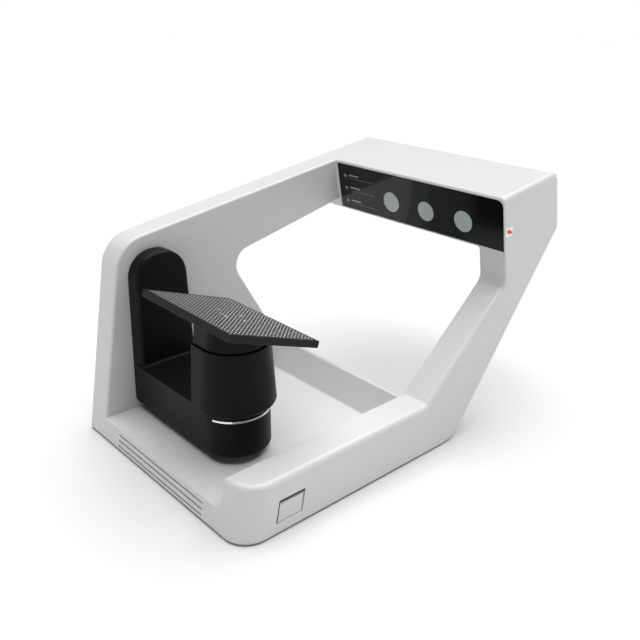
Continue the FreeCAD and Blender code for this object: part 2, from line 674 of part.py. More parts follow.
def right_arm(block):
    skin, width = D["skin"], D["width"]
    profile = inset([(0, 0), (FRONT * RIM, RIM), (*RIDGE, 6), (*ARM_FRONT, 10), HEAD_LOW, HEAD_REAR_LOW,
                     (D["arm_heel"], 0, D["heel_radius"])], skin)
    tunnel = prism("arm_tunnel", "YZ_Plane", "dims.width - dims.wall_width + dims.skin", profile,
                   "dims.wall_width - 2 * dims.skin")
    mouth = prism("arm_mouth", "XY_Plane", -1, arm_mouth(0), "dims.skin + 1.1")

    def front_corner(pts):
        return all_at(pts, 0, width - skin) and pts[2].y < 14

    cavity = round_edges("arm_cavity", tunnel, [(front_corner, D["plan_radius"] - skin)])
    housing = box("button_housing", (10, 39, 27), ("dims.width - 11.4", 33, 8))
    posts = [cylinder("arm_post", 4, "dims.rim_top - dims.skin - 2.6 + 0.2", (x, y, 2.6))
             for x, y in ARM_SCREWS]
    pocket = prism("button_pocket", "YZ_Plane", "dims.width - 7", BUTTON_POCKET, 10)
    passage = cylinder("switch_hole", 2.6, 12, ("dims.width - 18", *BUTTON_STEM), ALONG_X)
    drilled = [cylinder("arm_post_hole", 1.3, 9, (x, y, 2)) for x, y in ARM_SCREWS]
    hollow = cut("arm_hollow", block, cavity, mouth)
    body = fuse("arm_with_housing", hollow, housing, *posts)
    sub_part(cut("arm_cut", body, pocket, passage, *drilled), "right_arm_shell")
    sheet_form = prism("arm_cover_form", "XY_Plane", None, arm_mouth(0.25), "dims.cover_thick")
    holes = [cylinder("arm_cover_hole", 1.6, 4, (x, y, -1)) for x, y in ARM_SCREWS]
    sub_part(cut("arm_cover_cut", sheet_form, *holes), "arm_cover")


def power_button():
    cap = prism("button_cap", "YZ_Plane", "dims.width - 4", [(*p[:2], 2) for p in BUTTON], 3.2)
    edge = round_edges("button_rounded", cap, [(lambda pts: all_at(pts, 0, D["width"] - 0.8), 0.6)])
    stem = cylinder("button_stem", 2.4, 5, ("dims.width - 8.6", *BUTTON_STEM), ALONG_X)
    sub_part(fuse("button", edge, stem), "power_button")
    y, z = BUTTON_STEM
    body = box("switch_body", (10, 12, 12), ("dims.width - 21.5", y - 6, z - 6))
    tip = cylinder("switch_tip", 2, 1.5, ("dims.width - 11.5", y, z), ALONG_X)
    sub_part(fuse("switch", body, tip), "power_switch")


# ---------------------------------------------------------------- head

FACE_UP = V(0, -math.sin(math.radians(D["head_tilt"])), math.cos(math.radians(D["head_tilt"])))
FACE_OUT = V(0, -math.cos(math.radians(D["head_tilt"])), -math.sin(math.radians(D["head_tilt"])))
FACE_TURN = FreeCAD.Rotation(V(0, 0, 1), FACE_OUT)
FACE_TILT = FreeCAD.Rotation(V(1, 0, 0), D["head_tilt"])


def on_face(x, up, depth):
    """Point on the head's front: along the face from its bottom edge, and in from it."""
    return (x, HEAD_LOW[0] + FACE_UP.y * up - FACE_OUT.y * depth,
            HEAD_LOW[1] + FACE_UP.z * up - FACE_OUT.z * depth)


OPTICS = ["dims.optics_x + %d * dims.optics_pitch" % side for side in (-1, 0, 1)]


def optic_cylinder(name, radius, length, x, depth):
    """Cylinder from a depth behind the face towards the front, centred on an optic."""
    at = on_face(0, D["optics_up"], depth)
    return cylinder(name, radius, length, (x, at[1], at[2]), FACE_TURN)


def panel_outline(gap):
    left, right = D["panel_left"] + gap, D["panel_right"] - gap
    low, high = D["panel_low"] + gap, D["panel_high"] - gap
    return [(left, low, 1.5), (right, low, 1), (right, high, 7), (left, high, 1.5)]


def face_prism(label, corners, depth, thick):
    """Plate parallel to the head's front, from a depth behind it and thick towards the front."""
    body = new_body(label)
    sketch = new_sketch(body, "XZ_Plane")
    outline(sketch, corners)
    feature = body.newObject("PartDesign::Pad", label + "_pad")
    feature.Profile = sketch
    feature.setExpression("Length", str(thick))
    body.Placement = FreeCAD.Placement(V(*on_face(0, 0, depth)), FACE_TILT)
    return body


def head_rear():
    """Lines (Y, Z) of the rear cover: outer face, inner face, lower edge and upper edge."""
    inner = inset(HEAD_OUTLINE, D["skin"] + 0.15)
    outer = inset(HEAD_OUTLINE, 0.2)
    up = (outer[2][0] - outer[3][0], outer[2][1] - outer[3][1])
    along = (1, RISE)
    return (outer[3][:2], up), (inner[3][:2], up), (inner[0][:2], along), (inner[1][:2], along)


HEAD_ALONG = V(0, 1, RISE).normalize()
HEAD_ACROSS = V(0, -HEAD_ALONG.z, HEAD_ALONG.y)
LEDGE = 8
REAR_SCREWS_X = (14, 246)


def rear_ledge(label, inner_face, edge, side):
    """Rib across the head that the rear cover is screwed to; side is +1 at the bottom."""
    corner = V(0, *meet(*inner_face, *edge))
    runs = ((0.6, -0.6), (LEDGE, -0.6), (LEDGE, LEDGE), (0.6, LEDGE))
    points = [corner - HEAD_ALONG * back + HEAD_ACROSS * side * up for back, up in runs]
    return prism(label, "YZ_Plane", "dims.skin - 0.5", [(q.y, q.z) for q in points],
                 "dims.width - 2 * dims.skin + 1")


def rear_screw_spots():
    """Points on the rear cover's outer face, and the direction into the head."""
    outer_face, inner_face, low_edge, high_edge = head_rear()
    up = V(0, *outer_face[1]).normalize()
    inward = V(0, -up.z, up.y)
    spots = []
    for edge, side in ((low_edge, 1), (high_edge, -1)):
        line = V(0, *edge[0]) + HEAD_ACROSS * side * (LEDGE / 2 + 0.5)
        spots.append(V(0, *meet(*outer_face, (line.y, line.z), edge[1])))
    return spots, inward


def rear_screw_cylinders(name, radius, length, depth):
    """Cylinders into the rear cover at each of its screws, from a depth below its face."""
    spots, inward = rear_screw_spots()
    turn = FreeCAD.Rotation(V(0, 0, 1), inward)
    made = []
    for x in REAR_SCREWS_X:
        for spot in spots:
            start = spot + inward * depth
            made.append(cylinder(name, radius, length, (x, start.y, start.z), turn))
    return made


def head_shell(block):
    skin = D["skin"]
    front_skin = skin + D["panel_thick"]
    inner = inset(HEAD_OUTLINE, skin)
    face = (on_face(0, 0, front_skin)[1:], (-TIP, 1))
    low = meet(*face, inner[0][:2], (1, RISE))
    high = meet(*face, inner[1][:2], (1, RISE))
    cavity = prism("head_cavity", "YZ_Plane", "dims.skin",
                   [low, high, (430, high[1] + RISE * (430 - high[0])),
                    (430, low[1] + RISE * (430 - low[0]))], "dims.width - 2 * dims.skin")
    recess = face_prism("panel_recess", panel_outline(-0.1), D["panel_thick"] + 0.1, 10)
    holes = [optic_cylinder("optic_hole", 9.5, 12, x, 8) for x in OPTICS]
    outer_face, inner_face, low_edge, high_edge = head_rear()
    ledges = [rear_ledge("low_ledge", inner_face, low_edge, 1), rear_ledge("high_ledge", inner_face, high_edge, -1)]
    hollow = cut("head_hollow", block, cavity)
    threads = rear_screw_cylinders("ledge_hole", 1.3, 10, 0)
    sub_part(cut("head_cut", fuse("head_with_ledges", hollow, *ledges), recess, *holes, *threads), "head_shell")


def head_rear_cover():
    outer_face, inner_face, low_edge, high_edge = head_rear()
    profile = [meet(*outer_face, *low_edge), meet(*outer_face, *high_edge), meet(*inner_face, *high_edge),
               meet(*inner_face, *low_edge)]
    plate = prism("rear_cover_form", "YZ_Plane", "dims.skin + 0.15", profile,
                  "dims.width - 2 * dims.skin - 0.3")
    slots = [box("rear_slot", (2.4, 30, 26), (100 + 6 * i, 380, 206)) for i in range(10)]
    holes = rear_screw_cylinders("rear_cover_hole", 1.6, 8, -1)
    sinks = rear_screw_cylinders("rear_cover_sink", 3, 2.5, -1)
    sub_part(cut("rear_cover_cut", plate, *slots, *holes, *sinks), "head_rear_cover")
    shanks = rear_screw_cylinders("rear_shank", 1.3, 7, 1.5)
    heads = rear_screw_cylinders("rear_screw_head", 2.6, 1.2, 0.3)
    screws = [fuse("rear_screw", shank, head) for shank, head in zip(shanks, heads)]
    sub_part(gather("rear_screw_set", *screws), "rear_cover_screws")


def head_front():
    panel = face_prism("panel_form", panel_outline(0.15), D["panel_thick"] - 0.1, D["panel_thick"] - 0.2)
    radii = ("dims.window_disc", "dims.projector_disc", "dims.window_disc")
    holes = [optic_cylinder("panel_hole", radius + " + 0.1", 8, x, 4) for x, radius in zip(OPTICS, radii)]
    sub_part(cut("panel_cut", panel, *holes), "front_panel")
    names = ("left_camera_window", "projector_window", "right_camera_window")
    for name, x, radius in zip(names, OPTICS, radii):
        disc = optic_cylinder(name + "_disc", radius, "dims.panel_thick - 0.1", x,
                              D["panel_thick"] - 0.05)
        sub_part(gather(name + "_set", disc), name)


def optics():
    def unit(name, x, size, lens_radius):
        wide, tall, deep = size
        at = on_face(0, D["optics_up"] - tall / 2, 16)
        body = box(name + "_body", (wide, deep, tall), ("%s - %g" % (x, wide / 2), at[1], at[2]), FACE_TILT)
        lens = optic_cylinder(name + "_lens", lens_radius, 10.5, x, 16.2)
        eye = optic_cylinder(name + "_eye", lens_radius - 2, 4, x, 7)
        sub_part(cut(name + "_unit", fuse(name + "_solid", body, lens), eye), name)

    unit("left_camera", OPTICS[0], (29, 30, 30), 8.5)
    unit("projector", OPTICS[1], (46, 30, 50), 8.8)
    unit("right_camera", OPTICS[2], (29, 30, 30), 8.5)
    seat, thick, wide = D["optics_up"] - 15, 2, 148
    near_end, far_end = 8, 66
    at = on_face(0, seat - thick, near_end)
    left = "dims.optics_x - %g" % (wide / 2)
    shelf = box("bracket_shelf", (wide, far_end - near_end, thick), (left, *at[1:]), FACE_TILT)
    upstand = box("bracket_upstand", (wide, thick, 12), (left, *on_face(0, seat - thick, far_end)[1:]),
                  FACE_TILT)
    legs = []
    for dx in (-64, 64):
        for depth, foot in ((14, 2.85), (58, 1.8)):
            at = on_face(0, foot, depth)
            legs.append(cylinder("bracket_leg", 4, seat - thick - foot + 0.5,
                                 ("dims.optics_x + %g" % dx, at[1], at[2]), FACE_TILT))
    sub_part(fuse("bracket", shelf, upstand, *legs), "optics_bracket")


# ---------------------------------------------------------------- swing arm and turntable

def table_at(depth):
    """Point on the turntable axis, down from the top of the plate."""
    return ("dims.table_x", "dims.swing_y - %g * sin(dims.table_tilt)" % depth,
            "dims.table_z - %g * cos(dims.table_tilt)" % depth)


def cup_outline(left, centre, half, corner):
    """Plan of the turntable housing: straight sides and a half-round end to the right."""
    y = D["swing_y"]
    return [(left, y - half, corner), (centre + half, y - half, half),
            (centre + half, y + half, half), (left, y + half, corner)]


def swing_arm():
    y, half, low = D["swing_y"], D["foot_half"], D["foot_low"]
    top = D["swing_z"] + D["column_radius"]
    narrow = D["column_radius"]
    column = prism("column_form", "YZ_Plane", "dims.wall_width + dims.column_gap",
                   [(y - half, low, 5), (y - narrow, top, narrow - 0.6), (y + narrow, top, narrow - 0.6),
                    (y + half, low, 5)], "dims.column_face - dims.wall_width - dims.column_gap")
    start = D["wall_width"] + D["column_gap"] + 6
    foot = prism("foot_form", "XY_Plane", "dims.foot_low",
                 cup_outline(start, D["table_x"], half, 0), "dims.foot_top - dims.foot_low")
    form = fuse("arm_form", column, foot)
    face = D["column_face"]

    def column_edge(pts):
        return all_at(pts, 0, face) and pts[2].z > D["foot_top"] - 1 and not all_at(pts, 2, D["foot_top"])

    def elbow_edge(pts):
        return all_at(pts, 0, face) and all_at(pts, 2, D["foot_top"])

    def back_edge(pts):
        return all_at(pts, 0, D["wall_width"] + D["column_gap"])

    def foot_low_edge(pts):
        return all_at(pts, 2, low) and min(p.x for p in pts) > face - 12 and pts[2].x > face

    rounded = round_edges("arm_rounded", form, [(column_edge, 4), (back_edge, 1), (foot_low_edge, 4), (elbow_edge, 3)])
    cavity = prism("foot_cavity", "XY_Plane", low - 1,
                   cup_outline(face + 6, D["table_x"], half - 6, 3), "dims.foot_top - dims.foot_low - 3")
    socket = cylinder("shaft_socket", "dims.shaft_radius", 40, (20, "dims.swing_y", "dims.swing_z"), ALONG_X)
    stop = cylinder("shaft_stop", 12, 60, ("dims.column_face - 4", "dims.swing_y", "dims.swing_z"), ALONG_X)
    deep = cut("socket_depth", socket, stop)
    groove = trim_band("ring_groove", 0.1, 0.12)
    passage = cylinder("cable_hole", 4, 12, (130, y, 64))
    sub_part(cut("arm_bored", rounded, cavity, deep, groove, passage), "swing_arm")
    cover = prism("foot_cover_form", "XY_Plane", low + 0.2,
                  cup_outline(face + 6.15, D["table_x"], half - 6.15, 2.9), 2)
    sub_part(gather("foot_cover_set", cover), "foot_cover")


def trim_band(name, gap, out):
    """Half-round band round the foot's end, a little proud of it."""
    y, x, half = D["swing_y"], D["table_x"], D["foot_half"]
    ring = cylinder(name + "_outer", half + 0.4 + out, 1.8 + 2 * gap, (x, y, 65.4 - gap))
    core = cylinder(name + "_inner", half - 1.2 - gap, 4, (x, y, 64))
    behind = box(name + "_behind", (60, 80, 6), (x + 10.5 - gap - 60, y - 40, 63))
    return cut(name, ring, core, behind)


def cup_plan(z, gap):
    """Plan of the turntable housing at a height, drawn in by a gap: it narrows upwards."""
    share = (z - D["foot_top"]) / (D["cup_top"] - D["foot_top"])
    return cup_outline(146.5 - 2.5 * share + gap, 159.3 + 3.3 * share, 38.2 - 5.6 * share - gap,
                       max(2.5 - gap, 0.6))


def turntable_housing():
    wall = D["cup_wall"]
    levels = [(D["foot_top"], 2.4), (D["foot_top"] + 0.8, 1.1), (D["foot_top"] + 2.8, 0),
              (D["cup_top"] - 0.6, 0), (D["cup_top"], 0.5)]
    rings = [loft("cup_ring", low, cup_plan(low, low_gap), high, cup_plan(high, high_gap))
             for (low, low_gap), (high, high_gap) in zip(levels, levels[1:])]
    floor, mouth = D["foot_top"] + 3, D["cup_top"] + 1
    inner = loft("cup_cavity", floor, cup_plan(floor, wall), mouth, cup_plan(mouth, wall))
    passage = cylinder("cup_cable_hole", 4, 8, (170, D["swing_y"], D["foot_top"] - 2))
    sub_part(cut("cup_hollow", fuse("cup_form", *rings), inner, passage), "turntable_housing")
    sub_part(trim_band("trim", 0, 0), "trim_ring")


def turntable_turret():
    """Block inside the housing's mouth with a slanted top that the turntable is sunk into."""
    gap = D["cup_wall"] + 0.15
    low, mid, high = D["cup_top"] - 24, D["cup_top"], D["cup_top"] + 30
    stem = loft("turret_stem", low, cup_plan(low, gap), mid, cup_plan(mid, gap))
    crown = loft("turret_crown", mid, cup_plan(mid, gap), high, cup_plan(high, gap + 0.6))
    above = box("turret_above", (120, 140, 60), plate_point(-60, -70, TURRET_TOP), TABLE_TURN)
    sink = cylinder("hub_recess", "dims.hub_radius + 0.4", 10, table_at(TURRET_TOP + 4), TABLE_TURN)
    seat = cylinder("bearing_seat", 8.05, 10, table_at(TURRET_TOP + 8), TABLE_TURN)
    well = cylinder("motor_well", 11.1, 60, table_at(TURRET_TOP + 68), TABLE_TURN)
    sub_part(cut("turret_cut", fuse("turret_form", stem, crown), above, sink, seat, well),
             "turntable_turret")


def turntable_drive():
    depth = TURRET_TOP + 8.1
    can = cylinder("table_motor_can", 11, 23, table_at(depth + 23), TABLE_TURN)
    well = cylinder("table_motor_bore", 3.1, 16, table_at(depth + 15), TABLE_TURN)
    sub_part(cut("table_motor_body", can, well), "turntable_motor")
    ring = cylinder("table_bearing_ring", 8, 3.8, table_at(depth - 0.1), TABLE_TURN)
    hole = cylinder("table_bearing_hole", 3.1, 8, table_at(depth + 1), TABLE_TURN)
    sub_part(cut("table_bearing_cut", ring, hole), "turntable_bearing")
    low, high = depth + 14, D["plate_thick"] + 0.5
    shaft = cylinder("table_shaft_rod", 3, low - high, table_at(low), TABLE_TURN)
    sub_part(gather("table_shaft_set", shaft), "turntable_shaft")


def turntable():
    thick = D["plate_thick"]
    hub = cylinder("hub_disc", "dims.hub_radius", TURRET_TOP + 3.7 - thick, table_at(TURRET_TOP + 3.7),
                   TABLE_TURN)
    bore = cylinder("hub_bore", 3, 16, table_at(thick + 14), TABLE_TURN)
    ring = cylinder("magnet_ring", 14, 3, table_at(thick + 3), TABLE_TURN)
    eye = cylinder("magnet_eye", 7, 6, table_at(thick + 4), TABLE_TURN)
    seat = cylinder("magnet_seat", 14.1, 4, table_at(thick + 3.1), TABLE_TURN)
    core = cylinder("magnet_core", 6.9, 6, table_at(thick + 4.1), TABLE_TURN)
    sub_part(cut("hub_cut", hub, cut("hub_groove", seat, core), bore), "turntable_hub")
    sub_part(cut("magnet_cut", ring, eye), "holding_magnet")
    long, wide = D["plate_length"], D["plate_width"]
    corner = D["plate_corner"]
    body = new_body("plate_form")
    sketch = new_sketch(body, "XY_Plane", "-dims.plate_thick")
    outline(sketch, [(-long / 2, -wide / 2, corner), (long / 2, -wide / 2, corner),
                     (long / 2, wide / 2, corner), (-long / 2, wide / 2, corner)])
    feature = body.newObject("PartDesign::Pad", "plate_pad")
    feature.Profile = sketch
    feature.setExpression("Length", "dims.plate_thick")
    place(body, table_at(0), TABLE_TURN)
    holes = []
    screws = []
    for dx, dy in PLATE_SCREWS:
        holes.append(cylinder("plate_screw_hole", 1.7, 8, plate_point(dx, dy, 3), TABLE_TURN))
        screws.append(cylinder("plate_screw_head", 1.6, 3.4, plate_point(dx, dy, 2.9), TABLE_TURN))
    sub_part(cut("plate_cut_form", body, *holes), "model_plate")
    sub_part(gather("plate_screws_set", *screws), "plate_screws")


def plate_point(dx, dy, depth):
    """Point on the plate: right, towards the head, and down from its top."""
    base = table_at(depth)
    return ("%s + %g" % (base[0], dx), "%s + %g * cos(dims.table_tilt)" % (base[1], dy),
            "%s - %g * sin(dims.table_tilt)" % (base[2], dy))


def build():
    base, left, right, head = casing_shells()
    base_shell(base)
    bottom_cover()
    rubber_feet()
    bottom_screws()
    vent_filter()
    control_board()
    cooling_fan()
    connectors()
    left_wall(left)
    left_cover()
    swing_drive()
    right_arm(right)
    power_button()
    head_shell(head)
    head_rear_cover()
    head_front()
    optics()
    swing_arm()
    turntable_housing()
    turntable_turret()
    turntable_drive()
    turntable()
    doc.recompute()


def write():
    failed = [obj.Name for obj in doc.Objects if "Invalid" in obj.State or "Error" in obj.State]
    if failed:
        raise RuntimeError("features that failed: " + ", ".join(failed))
    os.makedirs("parts", exist_ok=True)
    for obj in SUB_PARTS:
        if obj.Shape.isNull() or not obj.Shape.isValid() or not obj.Shape.Solids:
            raise RuntimeError("bad shape: " + obj.Label)
        obj.Shape.exportStep("parts/%s.step" % obj.Label)
        print("%-22s %2d solids %9.1f mm3" % (obj.Label, len(obj.Shape.Solids), obj.Shape.Volume))


build()
write()
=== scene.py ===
import json
import math

import bmesh
import bpy
from mathutils import Matrix, Vector


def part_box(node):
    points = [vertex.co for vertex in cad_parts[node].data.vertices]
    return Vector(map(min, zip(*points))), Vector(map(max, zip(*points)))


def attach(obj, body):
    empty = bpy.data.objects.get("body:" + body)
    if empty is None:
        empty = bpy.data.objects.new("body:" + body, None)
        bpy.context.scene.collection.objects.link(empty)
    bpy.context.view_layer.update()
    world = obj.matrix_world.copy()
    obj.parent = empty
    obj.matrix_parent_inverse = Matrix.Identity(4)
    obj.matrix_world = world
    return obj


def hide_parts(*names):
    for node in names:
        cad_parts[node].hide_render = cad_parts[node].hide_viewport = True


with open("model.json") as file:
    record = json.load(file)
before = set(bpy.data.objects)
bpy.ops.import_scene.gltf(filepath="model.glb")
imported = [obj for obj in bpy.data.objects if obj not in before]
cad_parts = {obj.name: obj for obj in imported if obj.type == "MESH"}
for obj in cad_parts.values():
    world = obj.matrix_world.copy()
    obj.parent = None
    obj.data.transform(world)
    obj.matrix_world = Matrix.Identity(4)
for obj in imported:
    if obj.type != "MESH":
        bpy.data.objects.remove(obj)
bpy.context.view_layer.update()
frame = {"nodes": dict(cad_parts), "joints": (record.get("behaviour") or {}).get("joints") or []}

bl_info = {
    "name": "Desktop Model Scanner Finish",
    "version": (1, 0, 0),
    "blender": (4, 5, 0),
    "location": "View3D > Sidebar > Scanner",
    "description": "Finishes, fine parts and studio for an open-frame desktop scanner",
    "category": "Object",
}

MM = 0.001
JOINTS = {joint["name"]: joint for joint in frame["joints"]}
TABLE_SPIN = JOINTS["table_spin"]
TABLE_TOP = Vector(TABLE_SPIN["pos_m"])
TABLE_TILT = math.atan2(TABLE_SPIN["axis"][1], TABLE_SPIN["axis"][2])
TABLE = Matrix.Translation(TABLE_TOP) @ Matrix.Rotation(-TABLE_TILT, 4, "X")


# ------------------------------------------------------------------ settings


class ScannerSizes(bpy.types.PropertyGroup):
    plate_length: bpy.props.FloatProperty(
        name="Plate Length", description="Model plate from left to right",
        default=129 * MM, unit="LENGTH")
    plate_width: bpy.props.FloatProperty(
        name="Plate Width", description="Model plate from front to back",
        default=96 * MM, unit="LENGTH")
    plate_thick: bpy.props.FloatProperty(
        name="Plate Thickness", description="Thickness of the model plate",
        default=6.5 * MM, unit="LENGTH")
    hole_pitch: bpy.props.FloatProperty(
        name="Hole Pitch", description="Distance between the plate's small holes",
        default=3.95 * MM, unit="LENGTH")
    hole_radius: bpy.props.FloatProperty(
        name="Hole Radius", description="Radius of the plate's small holes",
        default=0.55 * MM, unit="LENGTH")
    hole_sink: bpy.props.FloatProperty(
        name="Hole Countersink", description="Width and depth of each hole's countersink",
        default=0.35 * MM, unit="LENGTH")
    head_tilt: bpy.props.FloatProperty(
        name="Head Tilt", description="Angle by which the camera head's front tips forward",
        default=math.radians(10), subtype="ANGLE")


class ScannerColours(bpy.types.PropertyGroup):
    casing: bpy.props.FloatVectorProperty(
        name="Casing", description="Off-white moulded casing",
        default=(0.63, 0.64, 0.63), size=3, subtype="COLOR", min=0, max=1)
    black: bpy.props.FloatVectorProperty(
        name="Black Mouldings", description="Satin black swing arm and turntable housing",
        default=(0.005, 0.005, 0.0054), size=3, subtype="COLOR", min=0, max=1)
    window: bpy.props.FloatVectorProperty(
        name="Windows", description="Frosted camera and projector windows",
        default=(0.40, 0.44, 0.44), size=3, subtype="COLOR", min=0, max=1)
    mark: bpy.props.FloatVectorProperty(
        name="Centre Mark", description="Small arrow on the side of the head",
        default=(0.75, 0.03, 0.02), size=3, subtype="COLOR", min=0, max=1)


class ScannerStage(bpy.types.PropertyGroup):
    azimuth: bpy.props.FloatProperty(
        name="Azimuth", description="Camera's turn round the object from its front",
        default=math.radians(48.6), subtype="ANGLE")
    elevation: bpy.props.FloatProperty(
        name="Elevation", description="Camera's height angle",
        default=math.radians(23.44), subtype="ANGLE")
    distance: bpy.props.FloatProperty(
        name="Distance", description="Camera to the point that it looks at",
        default=0.78, unit="LENGTH")
    lens: bpy.props.FloatProperty(
        name="Lens", description="Focal length on a 36 mm sensor", default=44.0, unit="CAMERA")
    aim: bpy.props.FloatVectorProperty(
        name="Aim", description="Point that the camera looks at",
        default=(0.0045, -0.0079, 0.107), size=3, subtype="TRANSLATION")


# ------------------------------------------------------------------ shader kit


class Wire:
    """A node's output; arithmetic on it adds Math nodes."""

    def __init__(self, book, socket):
        self.book = book
        self.socket = socket

    def _math(self, operation, first, second):
        return self.book.add("ShaderNodeMath", {"operation": operation}, {0: first, 1: second})

    def __add__(self, other):
        return self._math("ADD", self, other)

    def __radd__(self, other):
        return self._math("ADD", other, self)

    def __mul__(self, other):
        return self._math("MULTIPLY", self, other)

    def __rmul__(self, other):
        return self._math("MULTIPLY", other, self)


class Book:
    """The node tree of one new material."""

    def __init__(self, name):
        self.material = bpy.data.materials.new(name)
        self.material.use_nodes = True
        self.tree = self.material.node_tree
        self.shader = self.tree.nodes["Principled BSDF"]

    def set(self, node, inputs):
        for key, value in inputs.items():
            if isinstance(value, Wire):
                self.tree.links.new(value.socket, node.inputs[key])
            else:
                node.inputs[key].default_value = value

    def add(self, kind, settings=None, inputs=None, output=0):
        """One node: settings first, then its inputs' values or links; returns one output."""
        node = self.tree.nodes.new(kind)
        for key, value in (settings or {}).items():
            setattr(node, key, value)
        self.set(node, inputs or {})
        return Wire(self, node.outputs[output])

    def place(self):
        return self.add("ShaderNodeTexCoord", output="Object")

    def noise(self, scale, detail=2.0, rough=0.5):
        return self.add("ShaderNodeTexNoise", {}, {
            "Vector": self.place(), "Scale": scale, "Detail": detail, "Roughness": rough})

    def mix(self, amount, first, second):
        inputs = {0: amount, 6: first, 7: second}
        return self.add("ShaderNodeMix", {"data_type": "RGBA"}, inputs, output=2)

    def bump(self, height, depth):
        return self.add("ShaderNodeBump", {}, {"Height": height, "Distance": depth, "Strength": 1.0})

    def finish(self, **inputs):
        names = {key.replace("_", " ").title().replace("Ior", "IOR"): value for key, value in inputs.items()}
        self.set(self.shader, names)
        return self.material


def rgba(colour):
    return (*tuple(colour)[:3], 1.0)


def shade(colour, factor):
    return tuple(min(1.0, channel * factor) for channel in tuple(colour)[:3]) + (1.0,)


FINISHES = {}


def moulded(name, colour, roughness, grain=0.9, depth=0.012, spread=0.05, shine=0.5):
    """Moulded plastic: fine spark-eroded grain, cloudy gloss and a faint drift of colour."""
    book = Book(name)
    fine = book.noise(1000 / grain, 3.0, 0.55)
    cloud = book.noise(14.0, 3.0)
    tint = book.mix(cloud, shade(colour, 1 - spread), shade(colour, 1 + spread * 0.6))
    gloss = roughness - 0.05 + cloud * 0.06 + fine * 0.05
    FINISHES[name] = book.finish(
        base_color=tint, roughness=gloss, specular_ior_level=shine, normal=book.bump(fine, depth * MM))


def polished(name, colour, roughness, shine):
    """Polished plastic or glass-like panel with faint wipe marks in its gloss."""
    book = Book(name)
    cloud = book.noise(22.0, 4.0)
    wipe = book.noise(160.0, 2.0)
    gloss = roughness + cloud * 0.04 + wipe * 0.02
    tint = book.mix(cloud, shade(colour, 0.8), shade(colour, 1.25))
    FINISHES[name] = book.finish(
        base_color=tint, roughness=gloss, specular_ior_level=shine, normal=book.bump(wipe, 0.002 * MM))


def metal(name, colour, roughness, metallic=1.0):
    """Machined or plated metal with fine uneven gloss."""
    book = Book(name)
    fine = book.noise(2000.0, 3.0)
    cloud = book.noise(60.0, 3.0)
    tint = book.mix(cloud, shade(colour, 0.9), shade(colour, 1.06))
    FINISHES[name] = book.finish(
        base_color=tint, roughness=roughness - 0.04 + cloud * 0.08 + fine * 0.04, metallic=metallic,
        normal=book.bump(fine, 0.004 * MM))


def rubber(name):
    """Black rubber or foam with an open, matt grain."""
    book = Book(name)
    fine = book.noise(900.0, 4.0, 0.7)
    tint = book.mix(fine, (0.018, 0.018, 0.018, 1), (0.045, 0.045, 0.045, 1))
    FINISHES[name] = book.finish(
        base_color=tint, roughness=0.75 + fine * 0.15, normal=book.bump(fine, 0.03 * MM))


def board(name):
    """Green circuit board with a pattern of lighter tracks."""
    book = Book(name)
    cells = book.add("ShaderNodeTexBrick", {"offset": 0.5}, {
        "Vector": book.place(), "Scale": 260.0, "Mortar Size": 0.06,
        "Color1": (0.012, 0.10, 0.035, 1), "Color2": (0.014, 0.12, 0.045, 1),
        "Mortar": (0.03, 0.22, 0.08, 1)})
    FINISHES[name] = book.finish(base_color=cells, roughness=0.35)


def frosted(name, colour):
    """Frosted window: pale, finely grained and faintly cloudy."""
    book = Book(name)
    fine = book.noise(1500.0, 3.0)
    cloud = book.noise(70.0, 2.0)
    tint = book.mix(cloud, shade(colour, 0.92), shade(colour, 1.08))
    FINISHES[name] = book.finish(
        base_color=tint, roughness=0.28 + fine * 0.1, coat_weight=0.5, coat_roughness=0.05,
        normal=book.bump(fine, 0.004 * MM))


# ------------------------------------------------------------------ mesh kit


def sheet_of(bm, name, finish, body, matrix=None, replaces=(), angle=35):
    """Turns a bmesh into a finished piece: placed, merged, outward, shaded and riding."""
    if matrix is not None:
        bmesh.ops.transform(bm, matrix=matrix, verts=bm.verts)
    bmesh.ops.remove_doubles(bm, verts=bm.verts, dist=0.004 * MM)
    bmesh.ops.recalc_face_normals(bm, faces=bm.faces)
    mesh = bpy.data.meshes.new(name)
    bm.to_mesh(mesh)
    bm.free()
    mesh.shade_smooth()
    mesh.set_sharp_from_angle(angle=math.radians(angle))
    obj = bpy.data.objects.new(name, mesh)
    bpy.context.scene.collection.objects.link(obj)
    mesh.materials.append(FINISHES[finish])
    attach(obj, body)
    if replaces:
        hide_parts(*replaces)
    return obj


def disc(bm, radius, low, high, matrix=None, bevel=0.0, sides=48):
    """Closed round plate between two heights, with rounded rims."""
    made = bmesh.ops.create_cone(bm, cap_ends=True, segments=sides, radius1=radius, radius2=radius,
                                 depth=high - low)
    verts = made["verts"]
    bmesh.ops.translate(bm, vec=(0, 0, (low + high) / 2), verts=verts)
    if bevel:
        rims = {e for v in verts for e in v.link_edges if abs(e.verts[0].co.z - e.verts[1].co.z) < 1e-7}
        grown = bmesh.ops.bevel(bm, geom=list(rims), offset=bevel, segments=2, affect="EDGES",
                                profile=0.5, material=-1)
        verts = list({v for v in verts if v.is_valid} | set(grown["verts"]))
    if matrix is not None:
        bmesh.ops.transform(bm, matrix=matrix, verts=verts)
    return verts


def slab(bm, size, centre, bevel=0.0, matrix=None):
    """Closed block with rounded edges."""
    made = bmesh.ops.create_cube(bm, size=1.0)
    verts = made["verts"]
    bmesh.ops.scale(bm, vec=size, verts=verts)
    bmesh.ops.translate(bm, vec=centre, verts=verts)
    if bevel:
        edges = list({e for v in verts for e in v.link_edges})
        grown = bmesh.ops.bevel(bm, geom=edges, offset=bevel, segments=2, affect="EDGES",
                                profile=0.5, material=-1)
        verts = list({v for v in verts if v.is_valid} | set(grown["verts"]))
    if matrix is not None:
        bmesh.ops.transform(bm, matrix=matrix, verts=verts)
    return verts


